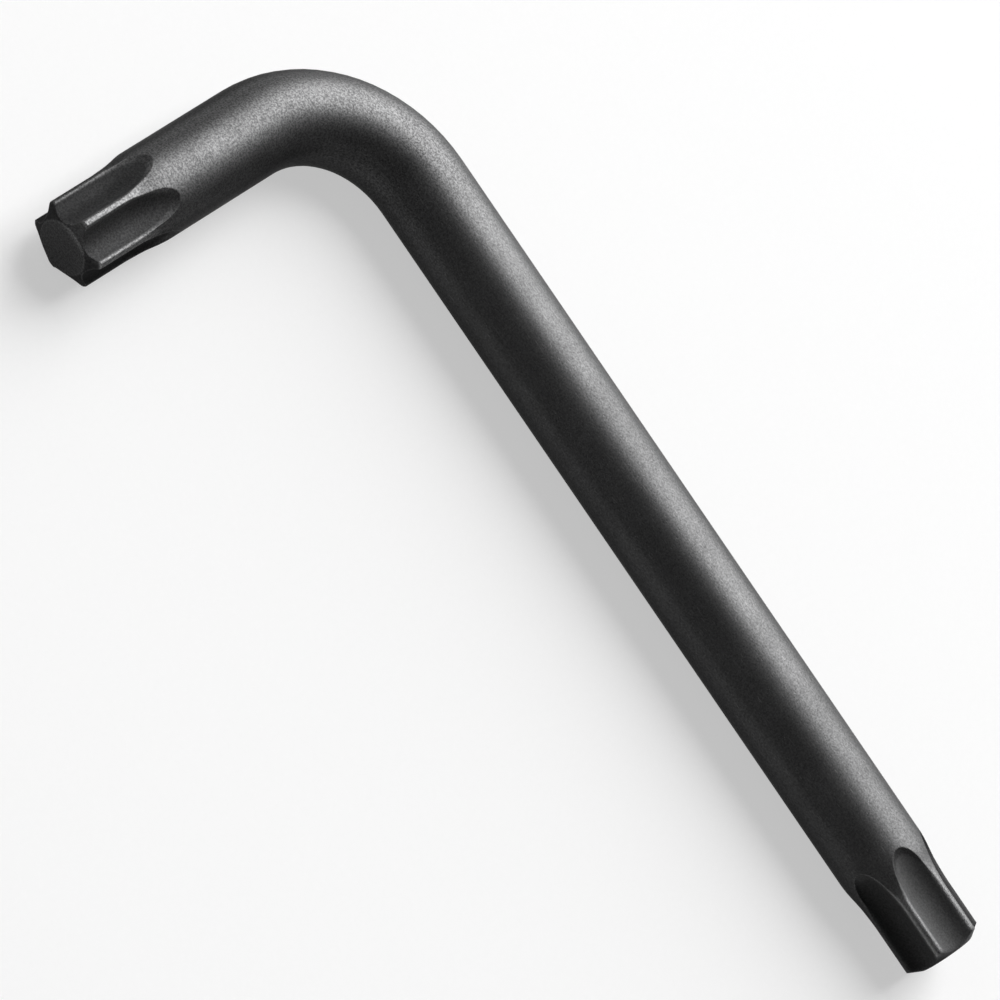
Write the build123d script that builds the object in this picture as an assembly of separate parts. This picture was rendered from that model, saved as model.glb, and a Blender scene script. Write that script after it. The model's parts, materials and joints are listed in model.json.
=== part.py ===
from build123d import *
import math
import os

# A double-ended star key: one round bar of hardened steel, bent once to a right angle,
# with a six-lobe star formed on each end. It is one piece of metal with nothing fitted to it.
#
# The key lies flat on its side. The long arm runs along +X to its tip, the short arm
# leaves the bend along -Y, and +Z is up. The origin is in the middle of the length and
# width that the key covers, on the surface that it lies on.

# ---- Driving dimensions, in millimetres and degrees ----

# Bar and bend
bar_diameter = 9.2
long_arm_length = 106.5  # from the outside of the short arm to the long arm's tip face
short_arm_length = 42.2  # from the outside of the long arm to the short arm's tip face
bend_radius = 13.2  # on the bar's centre line

# Six-lobe star, the same form on both ends
lobe_count = 6
star_across_points = 8.9
star_across_flutes = 6.1
star_point_radius = 0.45
star_turned_diameter = 8.8  # the bar is turned to this first, which trims the points
star_turned_length = 7.6  # back from the tip face
turned_shoulder_length = 3.0  # the soft rise from the turned end up to the full bar

# Flutes: straight from the tip, then lifting out of the bar on the cutter's arc
flute_straight_length = 5.7  # back from the tip face
flute_runout_radius = 11.0

# Cone that chamfers each tip
tip_face_diameter = 5.6
tip_chamfer_length = 0.8

# How far each star is turned about its arm, counter-clockwise as seen when facing the tip,
# from a point that stands straight up
long_star_turn = 42.0
short_star_turn = 5.6

# Room that a cutter takes beyond the metal
cutter_overrun = 1.0

# ---- Sizes worked out from the driving dimensions ----

bar_radius = bar_diameter / 2
flute_root = star_across_flutes / 2
lobe_pitch = 360.0 / lobe_count
half_pitch = lobe_pitch / 2

# A flute ends where the cutter's arc has lifted its root out of the bar
flute_depth = bar_radius - flute_root
runout_length = math.sqrt(2 * flute_runout_radius * flute_depth - flute_depth**2)
star_end_length = flute_straight_length + runout_length + cutter_overrun

# The crossing of the two arms' centre lines, seen from the origin
corner = Vector(
    bar_radius - long_arm_length / 2,
    short_arm_length / 2 - bar_radius,
    bar_radius,
)
long_tip = corner + Vector(long_arm_length - bar_radius, 0, 0)
short_tip = corner - Vector(0, short_arm_length - bar_radius, 0)


def polar(radius, angle):
    """Point at a radius and angle about the arm's centre line, with angle 0 along X."""
    turn = math.radians(angle)
    return Vector(radius * math.cos(turn), radius * math.sin(turn))


def flute_section():
    """One flute's space between two neighbouring points, with its root on +X."""
    point_centre = polar(star_across_points / 2 - star_point_radius, half_pitch)
    point_tip = polar(star_across_points / 2, half_pitch)
    root = Vector(flute_root, 0)

    # The hollow's radius for which it meets the arc of each point without a corner
    gap = point_centre - root
    hollow_radius = (gap.length**2 - star_point_radius**2) / (2 * (star_point_radius + gap.X))
    hollow_centre = root + Vector(hollow_radius, 0)
    towards_hollow = (hollow_centre - point_centre).normalized()
    towards_tip = (point_tip - point_centre).normalized()
    meeting = point_centre + towards_hollow * star_point_radius
    shoulder = point_centre + (towards_hollow + towards_tip).normalized() * star_point_radius
    outside = polar(bar_radius + cutter_overrun, half_pitch)

    hollow = ThreePointArc((meeting.X, -meeting.Y), root, meeting)
    point = ThreePointArc(meeting, shoulder, point_tip)
    side = Line(point_tip, outside)
    closing = Line(outside, (outside.X, -outside.Y))
    return make_face([hollow, point, side, closing, mirror(side, Plane.XZ), mirror(point, Plane.XZ)])


def flute_cutter():
    """The path of one flute's cutter: straight in from the tip, then out along its arc."""
    section = flute_section()
    straight = extrude(Pos(0, 0, cutter_overrun) * section, -cutter_overrun - flute_straight_length)
    lift = flute_depth + cutter_overrun
    lift_angle = math.degrees(math.acos(1 - lift / flute_runout_radius))
    swing = Axis((flute_root + flute_runout_radius, 0, -flute_straight_length), (0, -1, 0))
    runout = revolve(Pos(0, 0, -flute_straight_length) * section, swing, lift_angle)
    return straight + runout


def end_blank():
    """The turned end before it is fluted: chamfered tip, turned stretch, soft shoulder and bar."""
    turned_radius = star_turned_diameter / 2
    shoulder_start = (turned_radius, -star_turned_length)
    shoulder_end = (bar_radius, -star_turned_length - turned_shoulder_length)
    shoulder_middle = (
        (turned_radius + bar_radius) / 2,
        -star_turned_length - turned_shoulder_length / 2,
    )
    outline = [
        Polyline((0, 0), (tip_face_diameter / 2, 0), (turned_radius, -tip_chamfer_length), shoulder_start),
        TangentArc(shoulder_start, shoulder_middle, tangent=(0, -1)),
        TangentArc(shoulder_end, shoulder_middle, tangent=(0, 1)),
        Polyline(shoulder_end, (bar_radius, -star_end_length), (0, -star_end_length), (0, 0)),
    ]
    # Half a turn puts the line where the revolved surface closes on the key's underside
    return Rot(0, 0, 180) * revolve(Plane.XZ * make_face(outline), Axis.Z)


def star_end():
    """One end of the key, with its tip face at the origin and the tip pointing along +Z."""
    cutter = flute_cutter()
    flutes = [Rot(0, 0, half_pitch + lobe_pitch * index) * cutter for index in range(lobe_count)]
    return end_blank() - flutes


def bent_bar():
    """The round bar between the two star ends, drawn once round the bend."""
    bend_start = corner - Vector(0, bend_radius, 0)
    bend_end = corner + Vector(bend_radius, 0, 0)
    bar_start = short_tip + Vector(0, star_end_length, 0)
    bar_end = long_tip - Vector(star_end_length, 0, 0)
    path = (
        Line(bar_start, bend_start)
        + TangentArc(bend_start, bend_end, tangent=(0, 1, 0))
        + Line(bend_end, bar_end)
    )
    # The circle starts at its lowest point, so the line where the swept surface closes lies below
    section = Plane(origin=bar_start, x_dir=(0, 0, -1), z_dir=(0, 1, 0)) * Circle(bar_radius)
    return sweep(section, path)


def star_key():
    """The whole key: the bent bar with a star end on each arm."""
    end = star_end()
    long_seat = Plane(origin=long_tip, x_dir=(0, 0, 1), z_dir=(1, 0, 0))
    short_seat = Plane(origin=short_tip, x_dir=(0, 0, 1), z_dir=(0, -1, 0))
    long_end = long_seat * Rot(0, 0, long_star_turn) * end
    short_end = short_seat * Rot(0, 0, short_star_turn) * end
    return bent_bar() + long_end + short_end


os.makedirs("parts", exist_ok=True)
key = star_key()
export_step(key, "parts/star_key.step")
print("star_key: volume", round(key.volume, 1), "mm3, size", key.bounding_box().size)
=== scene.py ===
# %% [markdown]
# # A double-ended star key in black steel
#
# The real object is one round bar of hardened steel, bent once to a right angle, with a
# six-lobe star formed on each end. A star key is made from drawn wire: the stars are
# pressed or milled, the bar is bent, the whole key is hardened, and a hot bath turns its
# skin to black oxide. There is one piece of metal and nothing is fitted to it, so this
# scene has one shape to show and its work lies in the light and in the finish.
#
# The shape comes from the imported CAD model. It could be modelled again here, but a second
# shape would only drift away from the one that is measured, so it is loaded and kept.

# %% Load the key as the fixed frame
import json
import math

import bmesh
import bpy
from mathutils import Matrix, Vector

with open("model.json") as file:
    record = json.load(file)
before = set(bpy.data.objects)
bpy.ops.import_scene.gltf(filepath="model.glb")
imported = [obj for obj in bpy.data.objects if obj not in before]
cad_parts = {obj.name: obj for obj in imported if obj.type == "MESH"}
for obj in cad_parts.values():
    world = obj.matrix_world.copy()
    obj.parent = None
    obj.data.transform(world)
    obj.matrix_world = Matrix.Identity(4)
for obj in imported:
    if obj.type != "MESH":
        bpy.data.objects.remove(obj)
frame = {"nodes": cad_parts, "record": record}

scene = bpy.context.scene
key = frame["nodes"]["star_key"]
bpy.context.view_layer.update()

# %% [markdown]
# ## The camera
#
# A small tool is usually photographed from well back with a long lens, because a short
# lens close by would swell the nearer end. Here the lens and the place were found by
# matching the key's outline, the bend and the corners of both stars, so the two arms run
# across the picture at their real angles. The place is given in metres beside the key, and
# the way the camera is turned is given by two directions: where it looks, and which way
# its right-hand side points. Directions are easier to check by eye than three angles.

# %% Place the camera
camera_place = Vector((-0.009160, -0.370750, 0.548410))
looking_along = Vector((0.003877, 0.566912, -0.823770))
right_side = Vector((0.563801, 0.679123, 0.470021))
picture_width = 36.0  # in millimetres, as the lens
lens_length = 252.0
nearest_seen = 0.01
farthest_seen = 20.0

camera_data = bpy.data.cameras.new("long_lens")
camera_data.sensor_width = picture_width
camera_data.lens = lens_length
camera_data.clip_start = nearest_seen
camera_data.clip_end = farthest_seen
camera = bpy.data.objects.new("long_lens", camera_data)
scene.collection.objects.link(camera)

backwards = -looking_along.normalized()
sideways = right_side.normalized()
upwards = backwards.cross(sideways).normalized()
sideways = upwards.cross(backwards)
camera_turn = Matrix((sideways, upwards, backwards)).transposed().to_4x4()
camera.matrix_world = Matrix.Translation(camera_place) @ camera_turn
scene.camera = camera
distance = round(camera_place.length, 3)
print("camera:", distance, "m from the key's middle, lens", lens_length, "mm")

# %% [markdown]
# ## The paper sweep
#
# Small products are often laid on a sheet of white paper that rolls up into a wall behind
# them, so that no line shows where the floor ends. A flat plane would do for one camera.
# A sweep is used here because it also gives the steel something pale to reflect from
# behind, as the real paper does. It is drawn as a profile and stretched sideways: flat
# floor, quarter circle, wall. The key lies on it, at a height of zero.

# %% Roll the paper up behind the key
sweep_half_width = 1.6
sweep_front = -1.6
sweep_bend_start = 1.4
sweep_bend_radius = 0.5
sweep_wall_top = 1.6
bend_steps = 24


def sweep_profile():
    """The paper's edge, seen from the side, as (y, z) from front to top."""
    points = [(sweep_front, 0.0)]
    for step in range(bend_steps + 1):
        turn = math.radians(90.0 * step / bend_steps)
        across = sweep_bend_start + sweep_bend_radius * math.sin(turn)
        up = sweep_bend_radius * (1.0 - math.cos(turn))
        points.append((across, up))
    points.append((sweep_bend_start + sweep_bend_radius, sweep_wall_top))
    return points


paper_mesh = bmesh.new()
left_edge = [paper_mesh.verts.new((-sweep_half_width, y, z)) for y, z in sweep_profile()]
right_edge = [paper_mesh.verts.new((sweep_half_width, y, z)) for y, z in sweep_profile()]
for index in range(len(left_edge) - 1):
    front = (left_edge[index], right_edge[index])
    back = (right_edge[index + 1], left_edge[index + 1])
    paper_mesh.faces.new(front + back).smooth = True
sweep_data = bpy.data.meshes.new("paper_sweep")
paper_mesh.to_mesh(sweep_data)
paper_mesh.free()
paper_sweep = bpy.data.objects.new("paper_sweep", sweep_data)
scene.collection.objects.link(paper_sweep)
print("paper sweep:", len(sweep_data.polygons), "faces")

# %% [markdown]
# ## The lights
#
# Black steel shows almost nothing of its own colour. What the eye reads is the shape of
# the lights in it, so the lights are placed by where they should appear in the bar. A wide
# soft box stands behind the key and above it. It draws one broad pale band along the top
# of both arms and leaves the near side dark. A weak, wide fill from the front keeps that
# side from going to nothing. Point lamps would give hard sparks instead of a band.
#
# The strength is judged on the paper and not on the key: added up, the lamps and the dim
# room make the paper render close to the white that is written in its material.

# %% Build the soft boxes
lamps = {
    "soft_box_behind": {
        "towards": (-0.19, 0.74, 0.65),
        "away": 1.30,
        "wide": 1.05,
        "high": 1.65,
        "watts": 31.0,
    },
    "fill_front": {
        "towards": (-0.60, -0.50, 0.62),
        "away": 1.50,
        "wide": 1.20,
        "high": 1.20,
        "watts": 1.0,
    },
}


def add_soft_box(name, towards, away, wide, high, watts):
    """A rectangular lamp that stands off in a direction and shines at the key's middle."""
    direction = Vector(towards).normalized()
    data = bpy.data.lights.new(name, "AREA")
    data.shape = "RECTANGLE"
    data.size = wide
    data.size_y = high
    data.energy = watts
    lamp = bpy.data.objects.new(name, data)
    lamp.location = direction * away
    lamp.rotation_euler = (-direction).to_track_quat("-Z", "Y").to_euler()
    scene.collection.objects.link(lamp)


for name, setting in lamps.items():
    add_soft_box(name, **setting)
    print(name, "stands", setting["away"], "m off with", setting["watts"], "W")

# %% The room's own dim light
room_colour = (1.0, 1.0, 1.0, 1.0)
room_strength = 0.06

room = bpy.data.worlds.new("dim_room")
scene.world = room
room.use_nodes = True
room_light = room.node_tree.nodes["Background"]
room_light.inputs["Color"].default_value = room_colour
room_light.inputs["Strength"].default_value = room_strength
scene.view_settings.view_transform = "Standard"
print("room light strength", room_strength)

# %% [markdown]
# ## Helpers for shader nodes
#
# A material is a small diagram: boxes that work something out, joined by wires. It could
# be drawn by hand in the shader editor, but written down it can be read, compared and
# built again. A few short helpers keep the code close to that picture. One adds a box and
# feeds its sockets, each with a wire or with a plain value. Three more add the boxes that
# come up most: a calculation, a ramp from one value to another, and a mix of two layers.
# The last two are for node groups: a group is a diagram with named sockets, which a
# material places as one box.

# %% Helpers: boxes, wires and calculations


def feed(socket, value):
    """Joins a wire to a socket, or writes a plain value into it."""
    if isinstance(value, bpy.types.NodeSocket):
        socket.id_data.links.new(value, socket)
    else:
        socket.default_value = value


def box(tree, kind, spot, sockets=None, **options):
    """Adds one node, sets its own options, feeds its sockets, and gives it back."""
    node = tree.nodes.new(kind)
    node.location = spot
    for option, value in options.items():
        setattr(node, option, value)
    for name, value in (sockets or {}).items():
        feed(node.inputs[name], value)
    return node


def maths(tree, spot, operation, first, second=None, clamped=False):
    """Works out one calculation, such as MULTIPLY, and gives the result."""
    values = {0: first} if second is None else {0: first, 1: second}
    node = box(tree, "ShaderNodeMath", spot, values, operation=operation, use_clamp=clamped)
    return node.outputs[0]


print("helpers for boxes and calculations ready")

# %% Helpers: ramps and mixes
SOFT = "SMOOTHSTEP"
STRAIGHT = "LINEAR"


def ramp(tree, spot, value, start, end, low=0.0, high=1.0, curve=SOFT):
    """Runs from low to high while the value runs from start to end."""
    ends = {"From Min": start, "From Max": end, "To Min": low, "To Max": high}
    sockets = {"Value": value, **ends}
    node = box(tree, "ShaderNodeMapRange", spot, sockets, interpolation_type=curve)
    return node.outputs["Result"]


def mixed(tree, spot, kind, below, above, mask, **options):
    """Lays one value or colour over another by a mask, and gives the result."""
    first, second, result = {"FLOAT": (2, 3, 0), "RGBA": (6, 7, 2)}[kind]
    layers = {"Factor": mask, first: below, second: above}
    return box(tree, "ShaderNodeMix", spot, layers, data_type=kind, **options).outputs[result]


print("helpers for ramps and mixes ready")

# %% Helpers: start a group and place it
FLOAT = "NodeSocketFloat"
VECTOR = "NodeSocketVector"


def start_group(name, inputs, outputs):
    """An empty node group: its tree, the sockets it is given and the sockets it gives."""
    tree = bpy.data.node_groups.new(name, "ShaderNodeTree")
    for label, kind, default in inputs:
        socket = tree.interface.new_socket(label, in_out="INPUT", socket_type=kind)
        if default is not None:
            socket.default_value = default
    for label, kind in outputs:
        tree.interface.new_socket(label, in_out="OUTPUT", socket_type=kind)
    incoming = box(tree, "NodeGroupInput", (-1000, 0))
    outgoing = box(tree, "NodeGroupOutput", (800, 0))
    return tree, incoming.outputs, outgoing.inputs


def placed(tree, spot, group, sockets):
    """Places a group as one box in a material, and gives its outputs."""
    return box(tree, "ShaderNodeGroup", spot, sockets, node_tree=group).outputs


print("helpers for groups ready")

# %% [markdown]
# ## Fine grain
#
# Seen close up, the skin is not even. The bath etches the steel a little, so the black has
# a grain of a tenth to a third of a millimetre, and here and there a pit. A picture of
# steel could be laid on, but it would stretch round the bend. A noise that is worked out
# from the place has no seams and keeps its size everywhere. Paper has the same kind of
# unevenness at its own scale, so this is a group that both materials use. Sizes go in as
# real lengths: a noise texture's scale is the number of waves per metre, and the group
# works that out from the grain's size.

# %% Group: fine grain
grain_detail = 3.0
grain_harshness = 0.62
full_contrast = 6.0  # what a contrast of 1 multiplies the noise by
middle_grey = 0.5

grain_group, given, gives = start_group(
    "fine_grain",
    [("Place", VECTOR, None), ("Grain size", FLOAT, 0.0002), ("Contrast", FLOAT, 0.5)],
    [("Grain", FLOAT), ("Pits", FLOAT)],
)
grain_waves = maths(grain_group, (-800, -100), "DIVIDE", 1.0, given["Grain size"])
noise_setting = {
    "Vector": given["Place"],
    "Scale": grain_waves,
    "Detail": grain_detail,
    "Roughness": grain_harshness,
}
noise = box(grain_group, "ShaderNodeTexNoise", (-560, 200), noise_setting).outputs[0]
centred = maths(grain_group, (-320, 200), "SUBTRACT", noise, middle_grey)
gain = maths(grain_group, (-320, 0), "MULTIPLY", given["Contrast"], full_contrast)
stretched = maths(grain_group, (-80, 200), "MULTIPLY", centred, gain)
lifted = maths(grain_group, (160, 200), "ADD", stretched, middle_grey, clamped=True)
feed(gives["Grain"], lifted)
print("group fine_grain: contrast 1 multiplies the noise by", full_contrast)

# %% Group: fine grain, the pits in it
pits_per_grain = 0.45
pit_floor = 0.10  # from a pit's middle, where the spacing of the pits is 1
pit_rim = 0.28

pit_waves = maths(grain_group, (-560, -300), "MULTIPLY", grain_waves, pits_per_grain)
pit_setting = {"Vector": given["Place"], "Scale": pit_waves}
pit_cells = box(grain_group, "ShaderNodeTexVoronoi", (-320, -300), pit_setting)
from_middle = pit_cells.outputs["Distance"]
feed(gives["Pits"], ramp(grain_group, (-80, -300), from_middle, pit_floor, pit_rim, 1.0, 0.0))
print("group fine_grain:", len(grain_group.nodes), "nodes")

# %% [markdown]
# ## Soft clouds
#
# Where a key is held and wiped, the oil on it and the rubbed skin change the gloss in
# slow patches, some millimetres wide. The patches could be painted by hand, but nobody
# sees them one by one, so a slow noise does. It is a group of its own and not a part of
# the grain, so that each can be turned up without touching the other.

# %% Group: soft clouds
cloud_detail = 4.0
cloud_harshness = 0.55
cloud_starts = 0.32  # of the noise
cloud_whole = 0.68

cloud_group, given, gives = start_group(
    "soft_clouds",
    [("Place", VECTOR, None), ("Cloud size", FLOAT, 0.008), ("Seed", FLOAT, 0.0)],
    [("Clouds", FLOAT)],
)
noise_setting = {
    "Vector": given["Place"],
    "W": given["Seed"],
    "Scale": maths(cloud_group, (-760, -160), "DIVIDE", 1.0, given["Cloud size"]),
    "Detail": cloud_detail,
    "Roughness": cloud_harshness,
}
slow_noise = box(
    cloud_group, "ShaderNodeTexNoise", (-480, 120), noise_setting, noise_dimensions="4D"
).outputs[0]
feed(gives["Clouds"], ramp(cloud_group, (-160, 120), slow_noise, cloud_starts, cloud_whole))
print("group soft_clouds:", len(cloud_group.nodes), "nodes")

# %% [markdown]
# ## Worn edges
#
# Oxide is thinnest where an edge was knocked in the bath and where it has been in a screw,
# and the steel shows through there a little greyer and smoother. Rounds as small as these
# could be cut in the shape, but they would take thousands of faces. A shader can find an
# edge by comparing two normals: the real one, and one that the Bevel box has softened over
# a small radius. On a flat or round face they agree, and near an edge they part. The grain
# breaks the line up, because wear is never an even stripe. The radius is a socket of the
# group, because the edges of the two stars are not equally sharp.

# %% Group: worn edges
bevel_samples = 6
edge_starts = 0.995  # the cosine of about 6 degrees between the two normals
edge_whole = 0.93  # and of about 22 degrees
least_wear = 0.30  # where the grain is darkest

wear_group, given, gives = start_group(
    "worn_edges",
    [("Grain", FLOAT, 0.5), ("Amount", FLOAT, 0.5), ("Radius", FLOAT, 0.0002)],
    [("Wear", FLOAT), ("Softened", VECTOR)],
)
bevel_radius = {"Radius": given["Radius"]}
bevel = box(wear_group, "ShaderNodeBevel", (-760, 120), bevel_radius, samples=bevel_samples)
softened = bevel.outputs["Normal"]
real = box(wear_group, "ShaderNodeNewGeometry", (-760, -100)).outputs["Normal"]
agreement = box(
    wear_group, "ShaderNodeVectorMath", (-520, 60), {0: softened, 1: real},
    operation="DOT_PRODUCT",
).outputs["Value"]
edge_mask = ramp(wear_group, (-280, 100), agreement, edge_starts, edge_whole)
patchy = ramp(wear_group, (-280, -200), given["Grain"], 0.0, 1.0, least_wear, 1.0, STRAIGHT)
broken_up = maths(wear_group, (-40, 60), "MULTIPLY", edge_mask, patchy)
worn = maths(wear_group, (200, 60), "MULTIPLY", broken_up, given["Amount"], clamped=True)
feed(gives["Wear"], worn)
feed(gives["Softened"], softened)
print("group worn_edges:", len(wear_group.nodes), "nodes")

# %% [markdown]
# ## Dull flutes and pale crests
#
# The bar keeps the smooth skin of drawn wire, but the flutes are formed in it afterwards
# and never get that shine: the band of light runs along the bar and over the crests of the
# stars, and stops where the flutes begin. The flutes could have a material of their own,
# but then the skin would change at a hard line. The shader finds out instead where it is
# on a star. Measured from the arm's centre line, a flute's floor lies deeper than the
# crests, and it lies near a tip. The group turns those two facts into masks: the flutes,
# the crests between them, and the last stretch of the arm. The flat face at the tip is no
# flute. The crests are made paler only on top of the key, partly as real rubbing and partly
# as a painted highlight, so a height goes in as well.
#
# The group is placed twice, once for each arm, so that the two stars' flutes can get their
# own colours: the short star's are painted darker, as painted shade, and the long star's
# paler, as painted light.

# %% Group: star parts, how deep a place lies
crest_depth = 0.00434  # at this distance from the centre line the smooth skin is whole
floor_depth = 0.00402  # and here it is gone

star_group, given, gives = start_group(
    "star_parts",
    [(label, FLOAT, 0.0) for label in ("Sideways", "Upwards", "From tip")]
    + [("On top", FLOAT, 1.0)],
    [("Flute", FLOAT), ("Crest", FLOAT), ("Tip stretch", FLOAT)],
)
side_squared = maths(star_group, (-800, 200), "MULTIPLY", given["Sideways"], given["Sideways"])
up_squared = maths(star_group, (-800, 0), "MULTIPLY", given["Upwards"], given["Upwards"])
squares = maths(star_group, (-620, 100), "ADD", side_squared, up_squared)
off_centre = maths(star_group, (-440, 100), "SQRT", squares)
deep = ramp(star_group, (-240, 100), off_centre, crest_depth, floor_depth)
print(f"a flute lies less than {crest_depth * 1000:.2f} mm off the centre line")

# %% Group: star parts, how near the tip it lies
flutes_end = 0.0125  # back from the tip face
flutes_whole = 0.0105
crests_end = 0.0090
crests_whole = 0.0066
tip_face_ends = 0.00005
tip_edge_ends = 2 * tip_face_ends

back = given["From tip"]
near_tip = ramp(star_group, (-240, -200), back, flutes_end, flutes_whole)
last_stretch = ramp(star_group, (-240, -500), back, crests_end, crests_whole)
off_face = ramp(
    star_group, (-240, -800), back, tip_face_ends, tip_edge_ends, curve=STRAIGHT
)
deep_near_tip = maths(star_group, (20, 100), "MULTIPLY", deep, near_tip)
flute = maths(star_group, (240, 100), "MULTIPLY", deep_near_tip, off_face)
shallow = maths(star_group, (20, -200), "SUBTRACT", 1.0, deep)
crest = maths(star_group, (240, -200), "MULTIPLY", shallow, last_stretch)
top_crest_highlight = maths(star_group, (460, -200), "MULTIPLY", crest, given["On top"])
feed(gives["Flute"], flute)
feed(gives["Crest"], top_crest_highlight)
feed(gives["Tip stretch"], last_stretch)
print("group star_parts:", len(star_group.nodes), "nodes")

# %% [markdown]
# ## Rub marks
#
# Keys knock against each other in the box. That leaves a few short, slightly paler marks
# where the black is scraped thin, mostly a millimetre long and a tenth wide. They could be
# placed one by one, but then a repeat would soon be seen. A noise squeezed in one
# direction gives streaks, and only its highest peaks are let through, so that the marks
# stay rare. Two such noises, turned against each other, keep them from all running the
# same way.

# %% Group: rub marks
mark_length = 0.0011
mark_width = 0.00013
mark_tilt = 20.0
mark_turns = (25.0, -50.0)  # in degrees, one for each noise
mark_detail = 1.0
mark_starts = 0.70  # of the noise
mark_whole = 0.78

rub_group, given, gives = start_group(
    "rub_marks", [("Place", VECTOR, None)], [("Marks", FLOAT)]
)
squeezed = (1.0 / mark_length, 1.0 / mark_width, 1.0 / mark_width)
mark_masks = []
for number, turn in enumerate(mark_turns):
    row = 200 - 400 * number
    turned = tuple(math.radians(angle) for angle in (mark_tilt, turn / 2, turn))
    streak_frame = {"Vector": given["Place"], "Rotation": turned, "Scale": squeezed}
    streaky = box(rub_group, "ShaderNodeMapping", (-760, row), streak_frame).outputs["Vector"]
    streak_setting = {"Vector": streaky, "Scale": 1.0, "Detail": mark_detail}
    streaks = box(rub_group, "ShaderNodeTexNoise", (-520, row), streak_setting).outputs[0]
    peaks = ramp(rub_group, (-280, row), streaks, mark_starts, mark_whole, curve=STRAIGHT)
    mark_masks.append(peaks)
feed(gives["Marks"], maths(rub_group, (40, 40), "MAXIMUM", *mark_masks))
print(f"group rub_marks: {mark_length * 1000:.2f} by {mark_width * 1000:.2f} mm")

# %% [markdown]
# ## Black oxide on steel
#
# The finish is a thin, dark, slightly rough metal skin. It could be a black plastic-like
# surface, but then its highlight would stay weak. Here it is a metal with a very dark
# colour: a metal's colour is what it reflects, so the grain then shows where the light is
# and disappears where it is not, as on the real key.
#
# Several things are laid over each other in the cells that follow: the fine grain and its
# pits, the slow clouds in the gloss, a few rub marks, the dull flutes with their painted
# shade and painted light, a painted shade low on the sides, and the crests and worn edges,
# paler on top as a painted highlight. All sizes are in metres, read from the key's own
# coordinates.

# %% Material: black oxide
grazing_tint = (0.5, 0.5, 0.5, 1.0)  # oxide stays dark where it is seen edge-on

black_oxide = bpy.data.materials.new("black_oxide_steel")
black_oxide.use_nodes = True
tree = black_oxide.node_tree
skin = tree.nodes["Principled BSDF"]
skin.inputs["Metallic"].default_value = 1.0
skin.inputs["Specular Tint"].default_value = grazing_tint
print("black oxide: a metal with a tint of", grazing_tint[:3], "at grazing angles")

# %% [markdown]
# ## Where on the key
#
# The flutes, the bend, the top and the low sides each have their own look, so the shader
# needs to know where it is. Masks could be painted on the mesh, but paint is lost when the
# shape is packed again. Here the place is measured from the two tips that the record
# names, so the masks follow the shape when an arm gets longer.

# %% Distances from the two tips and from the centre line
mounts = {mount["name"]: mount for mount in frame["record"]["mounts"]}
long_tip = mounts["long_tip"]["pos_m"]
short_tip = mounts["short_tip"]["pos_m"]

place = box(tree, "ShaderNodeTexCoord", (-2400, 0)).outputs["Object"]
along = box(tree, "ShaderNodeSeparateXYZ", (-2200, -600), {"Vector": place}).outputs
beside_long_arm = maths(tree, (-2000, -300), "SUBTRACT", along["Y"], long_tip[1])
behind_long_tip = maths(tree, (-2000, -500), "SUBTRACT", long_tip[0], along["X"])
beside_short_arm = maths(tree, (-2000, -700), "SUBTRACT", along["X"], short_tip[0])
behind_short_tip = maths(tree, (-2000, -900), "SUBTRACT", along["Y"], short_tip[1])
above_centre = maths(tree, (-2000, -1100), "SUBTRACT", along["Z"], long_tip[2])
print("the long tip is at", long_tip, "and the short tip at", short_tip)

# %% Masks: the top, and the parts of both stars
top_starts = 0.0018  # above the centre line
top_whole = 0.0025

# This mask lays a painted highlight on top: the crests are paled only here, and the edges are
# worn paler here.
top_highlight_mask = ramp(tree, (-1780, -1100), above_centre, top_starts, top_whole)
both_stars = {"Upwards": above_centre, "On top": top_highlight_mask}
long_star = placed(
    tree, (-1560, -400), star_group,
    {"Sideways": beside_long_arm, "From tip": behind_long_tip, **both_stars},
)
short_star = placed(
    tree, (-1560, -700), star_group,
    {"Sideways": beside_short_arm, "From tip": behind_short_tip, **both_stars},
)
print(f"the top starts {top_starts * 1000:.1f} mm above the centre line")

# %% [markdown]
# ## Grain, clouds and marks on the key
#
# Bending stretches the drawn skin and opens it up, so the grain stands out more in the
# bend and on the short arm than on the long one. Two materials would meet in a seam there.
# Instead it is one grain, and its contrast runs up towards the bend.

# %% Place the grain, the clouds and the rub marks
grain_size = 0.00019
long_arm_contrast = 0.36
bend_contrast = 0.64
bend_skin_starts = short_tip[0] + 0.024  # along X, from the short arm's centre line
bend_skin_whole = short_tip[0] + 0.010
cloud_size = 0.007
cloud_seed = 3.0

contrast = ramp(
    tree, (-1780, 500), along["X"], bend_skin_starts, bend_skin_whole,
    long_arm_contrast, bend_contrast,
)
grain_setting = {"Place": place, "Grain size": grain_size, "Contrast": contrast}
grain_box = placed(tree, (-1560, 400), grain_group, grain_setting)
grain = grain_box["Grain"]
cloud_setting = {"Place": place, "Cloud size": cloud_size, "Seed": cloud_seed}
clouds = placed(tree, (-1560, 150), cloud_group, cloud_setting)["Clouds"]
marks = placed(tree, (-1560, -100), rub_group, {"Place": place})["Marks"]
print(f"grain of {grain_size * 1000:.2f} mm, clouds of {cloud_size * 1000:.0f} mm")

# %% [markdown]
# ## Edges of the two stars
#
# The short star's edges are crisp and worn pale, paler still where they lie on top, and
# that extra paleness on top is a painted highlight. The long star's are rounder and hardly
# pale, so their light is spread instead of sharp. The rounder edges could be cut in the
# shape, but they differ by a few tenths of a millimetre, so only the shading is softened
# over a wider radius there, and the wear is turned down.

# %% Edges: how round and how worn
edge_radius = 0.00018
long_star_edge_radius = 0.0007
low_wear = 0.30
top_wear_and_highlight = 0.65
long_star_wear = 0.1

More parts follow.
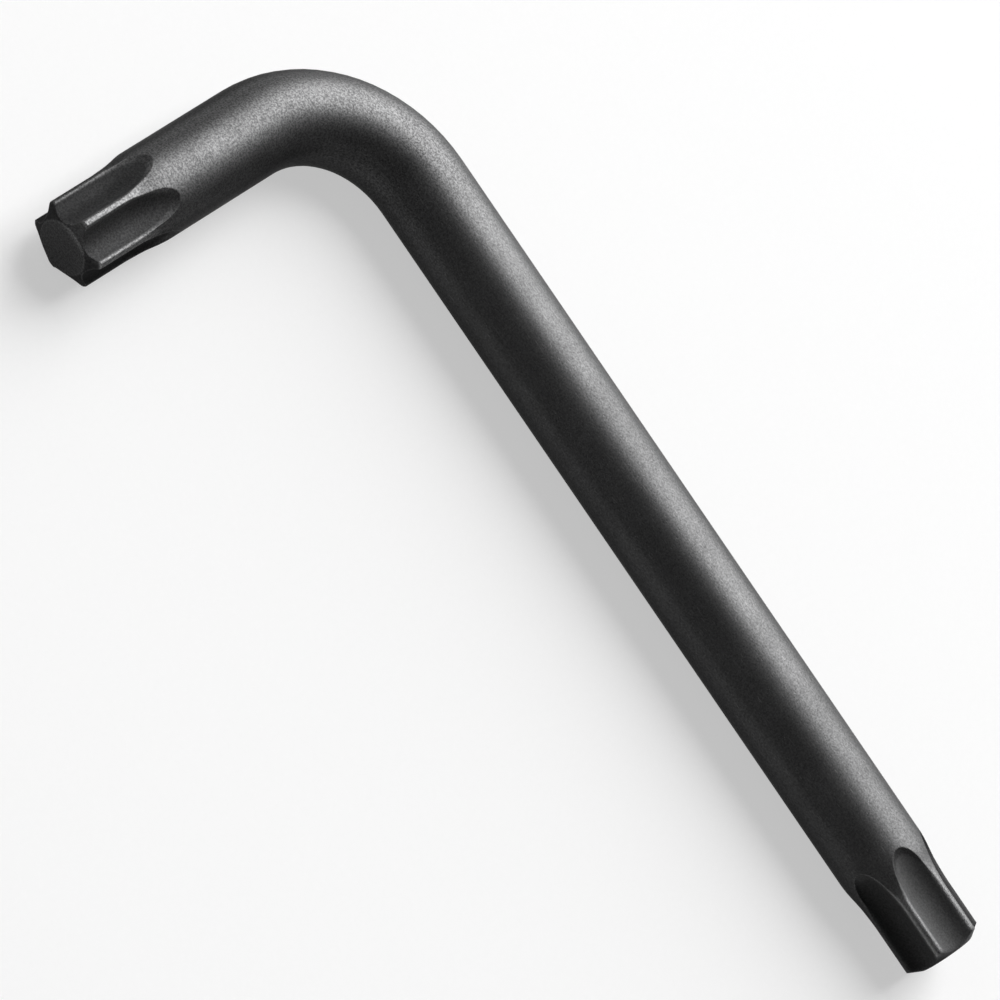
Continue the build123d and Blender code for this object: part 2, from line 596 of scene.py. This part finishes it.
long_star_stretch = long_star["Tip stretch"]
radius_here = mixed(
    tree, (-1320, -300), "FLOAT", edge_radius, long_star_edge_radius, long_star_stretch
)
# The edges wear paler on top than low on the sides; the extra paleness on top is a painted
# highlight.
wear_and_highlight_by_height = mixed(tree, (-1320, -800), "FLOAT", low_wear, top_wear_and_highlight, top_highlight_mask)
wear_and_highlight_here = mixed(
    tree, (-1320, -550), "FLOAT", wear_and_highlight_by_height, long_star_wear, long_star_stretch
)
wear_setting = {"Grain": grain, "Amount": wear_and_highlight_here, "Radius": radius_here}
edges = placed(tree, (-1100, -400), wear_group, wear_setting)
print(f"edges softened by {edge_radius * 1000:.2f} and {long_star_edge_radius * 1000:.2f} mm")

# %% [markdown]
# ## Colour of the skin
#
# Each part has a dark and a pale colour, and the grain runs between the two. One colour
# for the whole key would be simpler, but the flutes and the drawn bar differ. The layers go
# on from the bottom up: the bar with its rub marks, then the flutes, painted darker in the
# short star as painted shade and paler in the long star as painted light, then a painted
# shade low on the sides, and last the crests and edges, worn pale and paler on top as a
# painted highlight.

# %% Colour: the bar with its rub marks, then the flutes
bar_skin = ((0.070, 0.070, 0.071, 1.0), (0.166, 0.166, 0.167, 1.0))
# The flute colours are set to the light seen in them: the long star's are paler than the bar,
# a painted light, and the short star's darker, a painted shade.
long_flute_skin_and_light = ((0.108, 0.108, 0.109, 1.0), (0.206, 0.206, 0.207, 1.0))
short_flute_skin_and_shade = ((0.055, 0.055, 0.056, 1.0), (0.104, 0.104, 0.105, 1.0))
rubbed_skin = (0.19, 0.19, 0.19, 1.0)


def grainy(spot, skin_colours):
    """A skin that the grain breaks up between its dark and its pale colour."""
    dark, pale = skin_colours
    return mixed(tree, spot, "RGBA", dark, pale, grain)


bar = grainy((-1100, 1000), bar_skin)
long_flutes = grainy((-1100, 750), long_flute_skin_and_light)
short_flutes = grainy((-1100, 500), short_flute_skin_and_shade)
with_marks = mixed(tree, (-880, 1000), "RGBA", bar, rubbed_skin, marks)
with_long = mixed(tree, (-700, 900), "RGBA", with_marks, long_flutes, long_star["Flute"])
with_short = mixed(tree, (-520, 800), "RGBA", with_long, short_flutes, short_star["Flute"])
print("bar from", bar_skin[0][:3], "to", bar_skin[1][:3])

# %% Colour: painted shade low on the sides, then crests and worn edges with a painted highlight on top
# Painted shade: the colour is darkened low on the sides of the bar and stars, by height above
# the centre line.
sides_end = 0.0034  # above the centre line
sides_whole = 0.0019
side_shade_left = 0.37  # what is left of the colour there
# The crests' paler colour is partly real rubbing and partly a painted highlight, laid only on
# top.
long_crest_wear_and_highlight = ((0.110, 0.110, 0.111, 1.0), (0.255, 0.255, 0.256, 1.0))
short_crest_wear_and_highlight = ((0.090, 0.090, 0.091, 1.0), (0.220, 0.220, 0.221, 1.0))
bare_edge = (0.26, 0.26, 0.26, 1.0)

sides = ramp(tree, (-880, 1300), above_centre, sides_whole, sides_end, side_shade_left, 1.0)
with_side_shade = mixed(
    tree, (-340, 700), "RGBA", with_short, sides, 1.0, blend_type="MULTIPLY"
)
long_crests = grainy((-1100, 250), long_crest_wear_and_highlight)
short_crests = grainy((-1100, 0), short_crest_wear_and_highlight)
with_ridges = mixed(tree, (-880, 300), "RGBA", with_side_shade, long_crests, long_star["Crest"])
with_crests = mixed(tree, (-700, 300), "RGBA", with_ridges, short_crests, short_star["Crest"])
with_edges = mixed(tree, (-520, 300), "RGBA", with_crests, bare_edge, edges["Wear"])
feed(skin.inputs["Base Color"], with_edges)
print("low on the sides the colour is multiplied by", side_shade_left)

# %% [markdown]
# ## Gloss
#
# Roughness says how far a highlight is spread. The drawn bar is half rough, a little more
# or less so in clouds and from grain to grain. The flutes are so rough that the band of
# light nearly goes out in them, and a worn edge is smoother than the skin around it. The
# light could be painted paler and darker instead, but painted light would stay where it is
# when the camera or the lamps move.

# %% Gloss: clouds and grain on the bar, duller in the flutes, smoother on the edges
bar_roughness = (0.45, 0.53)
grain_roughness = 0.03
long_flute_roughness = 0.80
short_flute_roughness = 0.66
edge_roughness = 0.45

cloudy = ramp(tree, (-1320, 150), clouds, 0.0, 1.0, *bar_roughness, STRAIGHT)
speckled = ramp(
    tree, (-1320, -50), grain, 0.0, 1.0, grain_roughness, -grain_roughness, STRAIGHT
)
bar_gloss = maths(tree, (-880, -50), "ADD", cloudy, speckled)
long_gloss = mixed(
    tree, (-700, -50), "FLOAT", bar_gloss, long_flute_roughness, long_star["Flute"]
)
short_gloss = mixed(
    tree, (-520, -50), "FLOAT", long_gloss, short_flute_roughness, short_star["Flute"]
)
whole_gloss = mixed(tree, (-340, -50), "FLOAT", short_gloss, edge_roughness, edges["Wear"])
feed(skin.inputs["Roughness"], whole_gloss)
print("roughness: bar", bar_roughness, "flutes", long_flute_roughness, short_flute_roughness)

# %% [markdown]
# ## Bump
#
# The grain and the pits also have a height, a few thousandths of a millimetre. As shape
# that would take millions of faces. A Bump box only tilts the normal, which is all that
# the light needs. The first one starts from the softened normal of the worn edges, so that
# the edges catch the light over their width, and the second adds the pits to the grain.

# %% Bump: a few thousandths of a millimetre of grain, and deeper pits
grain_height = {"Strength": 0.8, "Distance": 0.000004}
pit_depth = {"Strength": 0.5, "Distance": 0.00001}

grain_raised = {"Height": grain, "Normal": edges["Softened"], **grain_height}
grain_bump = box(tree, "ShaderNodeBump", (-520, -350), grain_raised).outputs["Normal"]
pits_sunk = {"Height": grain_box["Pits"], "Normal": grain_bump, **pit_depth}
pit_bump = box(tree, "ShaderNodeBump", (-300, -350), pits_sunk, invert=True).outputs["Normal"]
feed(skin.inputs["Normal"], pit_bump)

for slot in key.material_slots:
    slot.material = black_oxide
print("black oxide on", len(key.material_slots), "material slot")

# %% [markdown]
# ## White paper
#
# The sweep is matt white paper. Its colour is written a little under full white, so that
# the lamps have room to shade it. The fine grain group is used again at the paper's own
# scale.
#
# The key is shown on clean white, so part of what the camera sees of the paper is plain
# white that needs no lamp. Stronger lamps would whiten the paper too, but they would
# bleach the key as well. The plain white is mixed in with an emission box, only for the
# rays that come from the camera, from a reflection or through glass, so that a mirror
# would show the same paper. The rest is real paper, and it keeps the key's soft shadow.

# %% Material: white paper
paper_dark = (0.93, 0.93, 0.93, 1.0)
paper_light = (0.96, 0.96, 0.96, 1.0)
paper_roughness = 0.9
fibre_size = 0.0006
fibre_contrast = 0.3

white_paper = bpy.data.materials.new("white_paper")
white_paper.use_nodes = True
tree = white_paper.node_tree
sheet = tree.nodes["Principled BSDF"]
sheet.inputs["Roughness"].default_value = paper_roughness
sheet.inputs["Specular IOR Level"].default_value = 0.0
paper_place = box(tree, "ShaderNodeTexCoord", (-900, 200)).outputs["Object"]
fibre_setting = {"Place": paper_place, "Grain size": fibre_size, "Contrast": fibre_contrast}
fibres = placed(tree, (-640, 200), grain_group, fibre_setting)["Grain"]
paper_colour = mixed(tree, (-340, 200), "RGBA", paper_dark, paper_light, fibres)
feed(sheet.inputs["Base Color"], paper_colour)
print("white paper from", paper_dark[:3], "to", paper_light[:3])

# %% White paper: a share of plain white for the camera and for reflections
plain_white_share = 0.50

seen = box(tree, "ShaderNodeLightPath", (-640, 700)).outputs
direct = maths(tree, (-400, 700), "MAXIMUM", seen["Is Camera Ray"], seen["Is Glossy Ray"])
seen_at_all = maths(tree, (-160, 700), "MAXIMUM", direct, seen["Is Transmission Ray"])
share = maths(tree, (80, 700), "MULTIPLY", seen_at_all, plain_white_share)
plain_white = box(tree, "ShaderNodeEmission", (80, -300), {"Strength": 1.0}).outputs[0]
layers = {0: share, 1: sheet.outputs[0], 2: plain_white}
paper_mix = box(tree, "ShaderNodeMixShader", (320, 500), layers).outputs[0]
output = tree.nodes["Material Output"]
output.location = (540, 500)
feed(output.inputs["Surface"], paper_mix)
paper_sweep.data.materials.append(white_paper)
print("plain white is", plain_white_share, "of what the camera sees of the paper")
